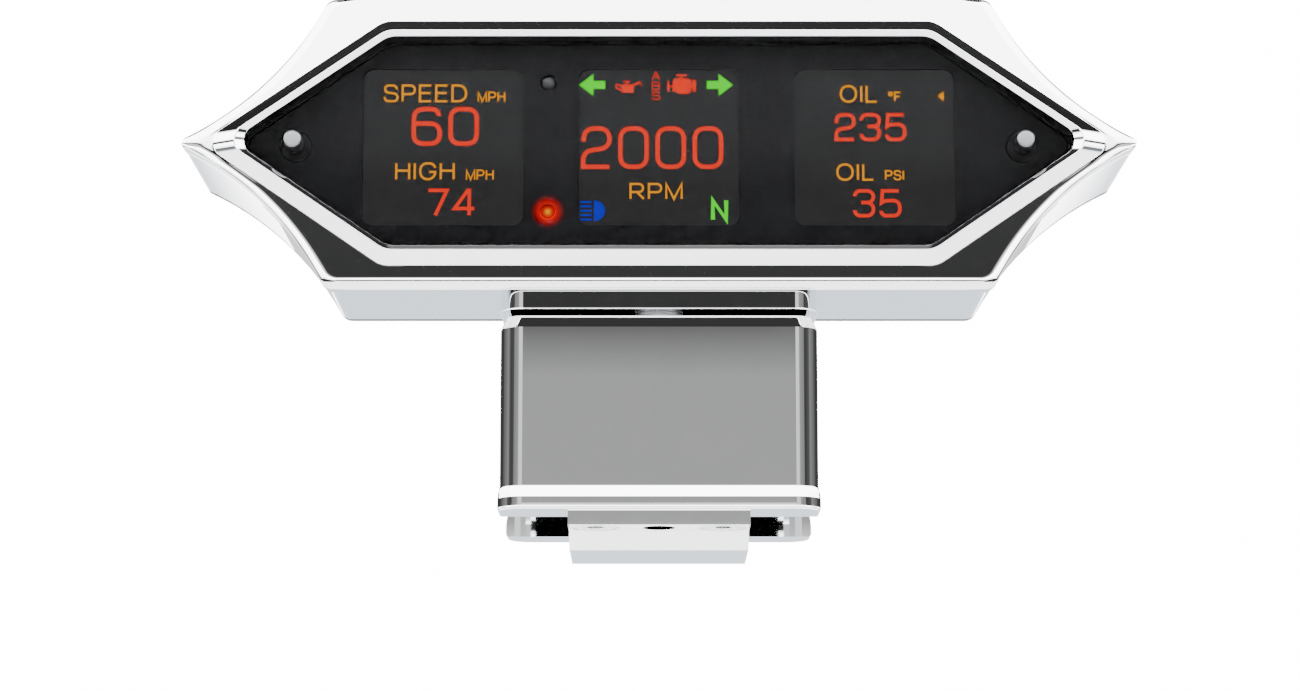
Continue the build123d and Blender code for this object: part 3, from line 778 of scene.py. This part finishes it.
def makeLamps():
    s = lampShape
    maskFront = boxOf("face_mask")[0][1]
    boardFront = boxOf("main_board")[0][1]
    for node in ("upper_led", "lower_led"):
        low, high = boxOf(node)
        x = (low[0] + high[0]) / 2
        z = (low[2] + high[2]) / 2
        domeSteps = [math.pi / 2 * i / 8 for i in range(1, 9)]
        profile = [(s["radius"] * math.sin(a), low[1] + s["radius"] * (1 - math.cos(a))) for a in domeSteps]
        rear = low[1] + s["bodyDepth"]
        profile += [(s["radius"], rear - s["rimDepth"]), (s["rimRadius"], rear - s["rimDepth"]),
                    (s["rimRadius"], rear)]
        lamp = turned(node + "Dome", profile, x, z)
        if node == "upper_led":
            finish(lamp, "head", finishes["clearLamp"], [node])
        else:
            material = fadeFinish("redLamp", x, z)[0]
            finish(lamp, "head", material, [node])
            sheet = maskFront - s["spillAhead"]
            spill = turned("lampSpill", [(s["radius"] - 0.15, sheet), (s["glowRadius"], sheet)], x, z, False)
            material, ramp = fadeFinish("lampSpill", x, z)
            addSpill(material, ramp)
            finish(spill, "head", material)
        verts = []
        for side in (-1, 1):
            centre = x + side * s["legPitch"] / 2
            for y in (rear - 0.1, boardFront):
                for dx, dz in ((-1, -1), (1, -1), (1, 1), (-1, 1)):
                    verts.append((centre + dx * s["legSize"] / 2, y, z + dz * s["legSize"] / 2))
        faces = []
        for base in (0, 8):
            faces += [tuple(base + i for i in face) for face in
                      ((0, 1, 2, 3), (7, 6, 5, 4), (0, 4, 5, 1), (1, 5, 6, 2), (2, 6, 7, 3), (3, 7, 4, 0))]
        legs = meshPiece(node + "Legs", verts, faces, smooth=False)
        finish(legs, "head", finishes["steel"])


# Foot and clamp block: rounded plan outlines stacked upwards, (height, inset) from the full outline
mountShape = {
    "halfWidth": 29.85,
    "front": -28.0,
    "cornerRadius": 4.6,
    "footRear": 6.0,
    "blockRear": 26.0,
    "bevelHigh": 2.3,
    "bevelDeep": 1.07,
    "barRadius": 15.9,
    "boreRadius": 3.06,
    "pocketRadius": 5.15,
    "pocketTop": -1.9,
    "beadFlare": 0.45,           # how far the lower edge stands out
    "capHoleX": 12,
    "capHoleY": (-21.5, 20.8),
    "capHoleRadius": 2.5,
    "capHoleDeep": 14.2,
    "footHoleX": 20,
    "footHoleY": -3,
    "footHoleRadius": 2.0,
    "footBoreRadius": 3.0,
    "padHalf": 25.2,             # raised pad inside the case
    "padFront": -25.4,
    "padRear": 1.4,
}


def planLoop(rear, inset, height, steps=8):
    m = mountShape
    half = m["halfWidth"] - inset
    front = m["front"] + inset
    back = rear - inset
    r = max(0.4, m["cornerRadius"] - inset)
    loop = []
    for cx, cy, start in ((half - r, back - r, 0), (r - half, back - r, 90), (r - half, front + r, 180),
                          (half - r, front + r, 270)):
        for i in range(steps + 1):
            a = math.radians(start + 90 * i / steps)
            loop.append((cx + r * math.cos(a), cy + r * math.sin(a), height))
    return loop


def stacked(name, levels, rear):
    verts = []
    for height, inset in levels:
        verts += planLoop(rear, inset, height)
    count = len(verts) // len(levels)
    faces = loopsToFaces(count, len(levels))
    faces.append(tuple(range(count)))
    faces.append(tuple(reversed(range((len(levels) - 1) * count, len(levels) * count))))
    return meshPiece(name, verts, faces)


def turnedUp(name, radius, x, y, low, high, count=32):
    # round cutter along Z
    verts = []
    for z in (low, high):
        for i in range(count):
            a = 2 * math.pi * i / count
            verts.append((x + radius * math.cos(a), y + radius * math.sin(a), z))
    faces = loopsToFaces(count, 2) + [tuple(range(count)), tuple(reversed(range(count, 2 * count)))]
    return meshPiece(name, verts, faces)


def barCutter():
    # round bore along X, open downwards
    m = mountShape
    count = 48
    turns = [math.pi * i / count for i in range(count + 1)]
    outline = [(m["barRadius"] * math.cos(a), m["barRadius"] * math.sin(a)) for a in turns]
    outline += [(-m["barRadius"], -30.0), (m["barRadius"], -30.0)]
    verts = [(x, y, z) for x in (-60.0, 60.0) for y, z in outline]
    n = len(outline)
    faces = loopsToFaces(n, 2) + [tuple(range(n)), tuple(reversed(range(n, 2 * n)))]
    return meshPiece("barCutter", verts, faces)


def carve(piece, cutters):
    # cut the tools out of the piece and drop them
    for cutter in cutters:
        cut = piece.modifiers.new(cutter.name, "BOOLEAN")
        cut.operation = "DIFFERENCE"
        cut.solver = "EXACT"
        cut.object = cutter
    graph = bpy.context.evaluated_depsgraph_get()
    carved = bpy.data.meshes.new_from_object(piece.evaluated_get(graph))
    piece.modifiers.clear()
    piece.data = carved
    for cutter in cutters:
        bpy.data.objects.remove(cutter)


def makeFoot():
    m = mountShape
    low = boxOf("mounting_foot")[0][2]
    high = housingLow[2]
    padTop = boxOf("mounting_foot")[1][2]
    levels = roundedSection([(low, 2.0, 0), (low, 0.0, 0.12), (low + 0.3, 0.0, 0), (high - 0.02, 0.0, 0)], 4)
    foot = stacked("foot", levels, m["footRear"])
    half = m["padHalf"]
    plan = ((-half, m["padFront"]), (half, m["padFront"]), (half, m["padRear"]), (-half, m["padRear"]))
    pad = meshPiece("pad", [(x, y, z) for z in (low + 1, padTop) for x, y in plan],
                    [(0, 1, 2, 3), (7, 6, 5, 4), (0, 4, 5, 1), (1, 5, 6, 2), (2, 6, 7, 3), (3, 7, 4, 0)])
    join = foot.modifiers.new("pad", "BOOLEAN")
    join.operation = "UNION"
    join.object = pad
    pivotY = (boxOf("pivot_collar")[0][1] + boxOf("pivot_collar")[1][1]) / 2
    holes = [turnedUp("pivotHole", m["footBoreRadius"], 0, pivotY, low - 1, padTop - 0.8)]
    for name, x in (("leftHole", -m["footHoleX"]), ("rightHole", m["footHoleX"])):
        holes.append(turnedUp(name, m["footHoleRadius"], x, m["footHoleY"], low + 1.0, padTop + 1))
    carve(foot, holes)
    bpy.data.objects.remove(pad)
    crispen(foot, 30)
    finish(foot, "head", finishes["chrome"], ["mounting_foot"])


def makeBlock():
    m = mountShape
    low, high = boxOf("clamp_block")
    bottom = low[2]
    top = high[2]
    corners = [(bottom, 3.0, 0), (bottom, -m["beadFlare"], 0.6), (bottom + 2.3, -0.42, 0.2),
               (bottom + 3.4, -0.3, 0.2), (bottom + 4.6, 0.0, 0), (top - m["bevelHigh"], 0.0, 0),
               (top, m["bevelDeep"], 0.05), (top, 4.0, 0)]
    block = stacked("block", roundedSection(corners, 4), m["blockRear"])
    pivotY = (boxOf("pivot_collar")[0][1] + boxOf("pivot_collar")[1][1]) / 2
    cutters = [barCutter(), turnedUp("pivotHole", m["boreRadius"], 0, pivotY, bottom - 1, top + 1),
               turnedUp("pocket", m["pocketRadius"], 0, pivotY, bottom - 1, m["pocketTop"])]
    for x in (-m["capHoleX"], m["capHoleX"]):
        for y in m["capHoleY"]:
            cutters.append(turnedUp("capHole", m["capHoleRadius"], x, y, bottom - 1,
                                    bottom + m["capHoleDeep"]))
    carve(block, cutters)
    crispen(block, 20)
    finish(block, "clamp", finishes["chrome"], ["clamp_block"])


makeButtons()
makeLamps()
makeFoot()
makeBlock()
print("buttons, lamps, foot and block built")


# Displays: stroke lettering and lamps

# each letter is drawn on a unit square as strokes, with its width beside its height first;
# a point with a third value is left sharp
letters = {
    "0": (0.72, [[(0.5, 1), (1, 1), (1, 0), (0, 0), (0, 1), (0.5, 1)]]),
    "2": (0.72, [[(0.02, 0.66), (0.02, 1), (1, 1), (1, 0.5), (0, 0.4), (0, 0, 0), (1, 0)]]),
    "3": (0.72, [[(0, 0.78), (0, 1), (1, 1), (1, 0.53), (0.35, 0.53)],
                 [(0.35, 0.53), (1, 0.53), (1, 0), (0, 0), (0, 0.22)]]),
    "4": (0.76, [[(1, 0.27), (0, 0.27, 0), (0.66, 1, 0), (0.74, 1, 0), (0.74, 0)]]),
    "5": (0.72, [[(0.95, 1), (0.08, 1, 0), (0.02, 0.52, 0), (0.2, 0.6),
                 (1, 0.62), (1, 0), (0, 0), (0, 0.2)]]),
    "6": (0.72, [[(0.96, 0.8), (0.96, 1), (0, 1), (0, 0), (1, 0), (1, 0.58), (0.04, 0.58)]]),
    "7": (0.72, [[(0, 1), (1, 1, 0), (0.38, 0)]]),
    "A": (0.84, [[(0, 0), (0.47, 1, 0), (0.53, 1, 0), (1, 0)], [(0.17, 0.33), (0.83, 0.33)]]),
    "B": (0.70, [[(0, 0.52), (0, 0, 0), (1, 0), (1, 0.52),
                 (0, 0.52, 0), (0, 1, 0), (0.92, 1), (0.92, 0.52), (0.6, 0.52)]]),
    "D": (0.80, [[(0, 0.5), (0, 0, 0), (1, 0), (1, 1), (0, 1, 0), (0, 0.5)]]),
    "E": (0.66, [[(1, 1), (0, 1, 0), (0, 0, 0), (1, 0)], [(0, 0.52), (0.93, 0.52)]]),
    "F": (0.62, [[(0, 0), (0, 1, 0), (1, 1)], [(0, 0.52), (0.85, 0.52)]]),
    "G": (0.88, [[(0.98, 0.72), (0.9, 1), (0, 1), (0, 0), (0.98, 0), (0.98, 0.46, 0), (0.58, 0.46)]]),
    "H": (0.74, [[(0, 0), (0, 1)], [(1, 0), (1, 1)], [(0, 0.54), (1, 0.54)]]),
    "I": (0.04, [[(0.5, 0), (0.5, 1)]]),
    "L": (0.60, [[(0, 1), (0, 0, 0), (1, 0)]]),
    "M": (0.90, [[(0, 0), (0, 1, 0), (0.5, 0, 0), (1, 1, 0), (1, 0)]]),
    "N": (0.74, [[(0, 0), (0, 1, 0), (1, 0, 0), (1, 1)]]),
    "O": (0.92, [[(0.5, 1), (1, 1), (1, 0), (0, 0), (0, 1), (0.5, 1)]]),
    "P": (0.72, [[(0, 0), (0, 1, 0), (1, 1), (1, 0.45), (0, 0.45)]]),
    "R": (0.78, [[(0, 0), (0, 1, 0), (0.94, 1), (0.94, 0.46), (0, 0.46)], [(0.48, 0.46), (1, 0)]]),
    "S": (0.76, [[(0.95, 0.74), (0.95, 1), (0.03, 1), (0.03, 0.56), (1, 0.47), (1, 0), (0, 0), (0, 0.27)]]),
    "°": (0.34, [[(0.5, 1), (1, 1), (1, 0.62), (0, 0.62), (0, 1), (0.5, 1)]]),
}

displayLook = {
    "lift": 0.03,                # front of the lettering before the glass
    "thickness": 0.06,
    "numberCorner": 0.25,        # corner radius as a share of a number's height
    "wordCorner": 0.46,
    "orange": (1.60, 0.58, 0.0),
    "red": (1.70, 0.06, 0.018),
    "green": (0.07, 1.75, 0.0),
    "blue": (0.006, 0.03, 0.95),
    "glow": 1.0,
}

# text, colour, left, right, low and high measured from the case's centre, and stroke width
readouts = {
    "left_display": [
        ("SPEED", "orange", -52.4, -36.5, 8.9, 12.4, 0.42),
        ("MPH", "orange", -34.5, -29.2, 8.9, 11.0, 0.29),
        ("60", "red", -47.0, -34.2, 0.4, 8.0, 0.86),
        ("HIGH", "orange", -50.0, -38.7, -6.3, -2.8, 0.42),
        ("MPH", "orange", -36.6, -31.3, -6.3, -4.2, 0.29),
        ("74", "red", -44.0, -34.6, -13.4, -7.9, 0.68),
    ],
    "centre_display": [
        ("2000", "red", -14.8, 12.2, -4.1, 4.2, 0.84),
        ("RPM", "orange", -5.6, 4.5, -10.1, -6.8, 0.42),
        ("N", "green", 9.8, 13.1, -14.3, -9.8, 0.80),
        ("A", "red", -1.35, 0.25, 13.2, 14.9, 0.17),
        ("B", "red", -1.35, 0.25, 11.3, 12.9, 0.17),
        ("S", "red", -1.35, 0.25, 9.4, 11.0, 0.17),
    ],
    "right_display": [
        ("OIL", "orange", 34.4, 41.6, 8.8, 12.3, 0.42),
        ("°F", "orange", 43.6, 46.1, 9.0, 11.0, 0.32),
        ("235", "red", 33.3, 47.0, 1.3, 6.8, 0.68),
        ("OIL", "orange", 33.6, 40.8, -6.4, -3.0, 0.42),
        ("PSI", "orange", 42.8, 46.5, -6.3, -4.3, 0.32),
        ("35", "red", 36.7, 45.9, -13.5, -8.0, 0.68),
    ],
}


class FlatWork:
    # gathers flat closed slabs drawn in x and z into one mesh
    def __init__(self, front, thickness):
        self.front = front
        self.rear = front + thickness
        self.verts = []
        self.faces = []

    def addStrip(self, left, right):
        # left and right are matching lists of (x, z)
        count = len(left)
        base = len(self.verts)
        for y in (self.front, self.rear):
            for side in (left, right):
                self.verts += [(x, y, z) for x, z in side]
        fl, fr, rl, rr = (base + k * count for k in range(4))
        for i in range(count - 1):
            self.faces.append((fl + i, fl + i + 1, fr + i + 1, fr + i))
            self.faces.append((rl + i, rr + i, rr + i + 1, rl + i + 1))
            self.faces.append((fl + i, rl + i, rl + i + 1, fl + i + 1))
            self.faces.append((fr + i, fr + i + 1, rr + i + 1, rr + i))
        for i in (0, count - 1):
            self.faces.append((fl + i, fr + i, rr + i, rl + i))

    def addOutline(self, outline):
        count = len(outline)
        base = len(self.verts)
        for y in (self.front, self.rear):
            self.verts += [(x, y, z) for x, z in outline]
        self.faces.append(tuple(base + i for i in range(count)))
        self.faces.append(tuple(base + count + i for i in reversed(range(count))))
        for i in range(count):
            k = (i + 1) % count
            self.faces.append((base + i, base + count + i, base + count + k, base + k))

    def addStroke(self, path, width, corner):
        # a line of even width with rounded corners
        points = np.array(roundPath(path, corner))
        steps = np.diff(points, axis=0)
        steps /= np.linalg.norm(steps, axis=1)[:, None]
        left = []
        right = []
        last = len(points) - 1
        shut = np.linalg.norm(points[0] - points[-1]) < 1e-6
        for i, point in enumerate(points):
            ahead = steps[min(i, last - 1)] if i < last or not shut else steps[0]
            behind = steps[max(i - 1, 0)] if i > 0 or not shut else steps[-1]
            across = np.array((-(ahead[1] + behind[1]), ahead[0] + behind[0]))
            across /= np.linalg.norm(across)
            square = np.array((-ahead[1], ahead[0]))
            reach = width / 2 / max(0.40, float(across @ square))
            left.append(tuple(point + across * reach))
            right.append(tuple(point - across * reach))
        self.addStrip(left, right)

    def build(self, name):
        return meshPiece(name, self.verts, self.faces, smooth=False)


def roundPath(path, radius):
    # limits each corner's radius to what its two runs allow
    places = [np.array(point[:2], float) for point in path]
    sharp = [i in (0, len(path) - 1) or len(point) > 2 for i, point in enumerate(path)]
    corners = []
    for i, here in enumerate(places):
        if sharp[i]:
            corners.append((here[0], here[1], 0))
            continue
        before = places[i - 1] - here
        after = places[i + 1] - here
        lengths = [np.linalg.norm(before), np.linalg.norm(after)]
        half = math.acos(max(-1, min(1, float(before @ after) / (lengths[0] * lengths[1])))) / 2
        shares = [0.98 if sharp[k] else 0.49 for k in (i - 1, i + 1)]
        allowed = min(length * share for length, share in zip(lengths, shares)) * math.tan(half)
        straight = half > math.radians(86)
        corners.append((here[0], here[1], 0 if straight else min(radius, allowed)))
    return roundedSection(corners, 6)


def addText(work, text, left, right, low, high, stroke):
    # strokes stay inside the given box
    left += stroke / 2
    right -= stroke / 2
    low += stroke / 2
    high -= stroke / 2
    tall = high - low
    widths = [letters[c][0] for c in text]
    gap = 0.30
    natural = sum(widths) + gap * (len(text) - 1)
    scale = (right - left) / natural
    radius = displayLook["numberCorner" if text.isdigit() else "wordCorner"] * tall
    at = left
    for character, wide in zip(text, widths):
        for path in letters[character][1]:
            ends = [(at + p[0] * wide * scale, caseCentre + low + p[1] * tall) + tuple(p[2:]) for p in path]
            work.addStroke(ends, stroke, radius)
        at += (wide + gap) * scale


def glowMaterial(name, colour, strength):
    # lit dots behind the glass: the brightness varies a little from dot to dot
    material, nodes, links = newMaterial(name)
    shader = shaderOf(material)
    shader.inputs["Base Color"].default_value = (0.001, 0.001, 0.001, 1)
    shader.inputs["Roughness"].default_value = 0.8
    shader.inputs["Specular IOR Level"].default_value = 0.02
    shader.inputs["Emission Strength"].default_value = strength
    place = nodes.new("ShaderNodeTexCoord")
    dots = nodes.new("ShaderNodeTexChecker")
    dots.inputs["Scale"].default_value = 4200
    dots.inputs["Color1"].default_value = tuple(colour) + (1,)
    dots.inputs["Color2"].default_value = tuple(0.9 * c for c in colour) + (1,)
    links.new(place.outputs["Object"], dots.inputs["Vector"])
    links.new(dots.outputs["Color"], shader.inputs["Emission Color"])
    return material


glows = {name: glowMaterial(name + "Light", displayLook[name], displayLook["glow"])
         for name in ("orange", "red", "green", "blue")}


def shapeAt(x, z, scale, points):
    return [(x + scale * px, caseCentre + z + scale * pz) for px, pz in points]


def addArrow(work, x, z, size, way):
    points = [(1.15, 0.36), (0.1, 0.36), (0.1, 1.0), (-1.15, 0), (0.1, -1.0), (0.1, -0.36), (1.15, -0.36)]
    work.addOutline(shapeAt(x, z, size, [(way * px, pz) for px, pz in points]))


def addOilCan(work, x, z):
    body = [(-1.3, -1.1), (1.0, -1.1), (1.0, 0.1), (2.4, 0.9), (2.2, 1.15), (0.7, 0.45), (-1.3, 0.45)]
    work.addOutline(shapeAt(x, z, 1, body))
    work.addStroke(shapeAt(x, z, 1, [(-1.35, 0.2), (-2.3, 0.6), (-2.3, -0.2), (-1.4, -0.6)]), 0.28, 0.2)
    work.addStroke(shapeAt(x, z, 1, [(-0.3, 0.4), (-0.3, 0.95)]), 0.3, 0)
    work.addStroke(shapeAt(x, z, 1, [(-0.9, 1.05), (0.3, 1.05)]), 0.26, 0)
    work.addStroke(shapeAt(x, z, 1, [(2.45, 0.2), (2.45, 0.55)]), 0.26, 0)


def addEngine(work, x, z):
    body = [(-1.7, -1.3), (-1.0, -1.3), (-0.6, -1.75), (1.3, -1.75), (1.8, -1.2), (1.8, -0.6), (2.1, -0.6),
            (2.1, -1.3), (2.75, -1.3), (2.75, 1.0), (2.1, 1.0), (2.1, 0.3), (1.8, 0.3), (1.8, 1.0),
            (1.1, 1.3), (-1.2, 1.3), (-1.7, 0.7)]
    work.addOutline(shapeAt(x, z, 1, body))
    work.addStroke(shapeAt(x, z, 1, [(0, 1.2), (0, 1.85)]), 0.36, 0)
    work.addStroke(shapeAt(x, z, 1, [(-1.0, 1.9), (1.0, 1.9)]), 0.32, 0)
    work.addStroke(shapeAt(x, z, 1, [(-1.6, -0.3), (-2.35, -0.3)]), 0.34, 0)
    work.addStroke(shapeAt(x, z, 1, [(-2.5, 0.7), (-2.5, -1.3)]), 0.36, 0)


def addHeadlamp(work, x, z):
    turns = np.linspace(0.2, math.pi - 0.2, 12)
    bowl = [(0.2, 2.0)] + [(0.2 + 2.1 * math.sin(a), 2.0 * math.cos(a)) for a in turns]
    work.addOutline(shapeAt(x, z, 1, bowl + [(0.2, -2.0)]))
    for i in range(5):
        height = -1.7 + 0.85 * i
        work.addStroke(shapeAt(x, z, 1, [(-2.4, height), (-0.25, height)]), 0.34, 0)


def addSymbols(works):
    addArrow(works["green"], -12.7, 12.3, 2.15, 1)
    addArrow(works["green"], 11.6, 12.3, 2.15, -1)
    addOilCan(works["red"], -5.8, 11.9)
    addEngine(works["red"], 4.3, 12.3)
    addHeadlamp(works["blue"], -12.5, -12.2)


def makeReadouts():
    for display, rows in readouts.items():
        front = boxOf(display)[0][1] - displayLook["lift"]
        works = {name: FlatWork(front, displayLook["thickness"]) for name in glows}
        for text, colour, left, right, low, high, stroke in rows:
            addText(works[colour], text, left, right, low, high, stroke)
        if display == "centre_display":
            addSymbols(works)
        if display == "right_display":
            works["orange"].addOutline(shapeAt(53.6, 10.1, 1, [(-0.6, 0), (0.6, 1.0), (0.6, -1.0)]))
        for colour, work in works.items():
            if work.verts:
                piece = work.build(display + "." + colour)
                finish(piece, "head", glows[colour])


makeReadouts()
print("readouts drawn")
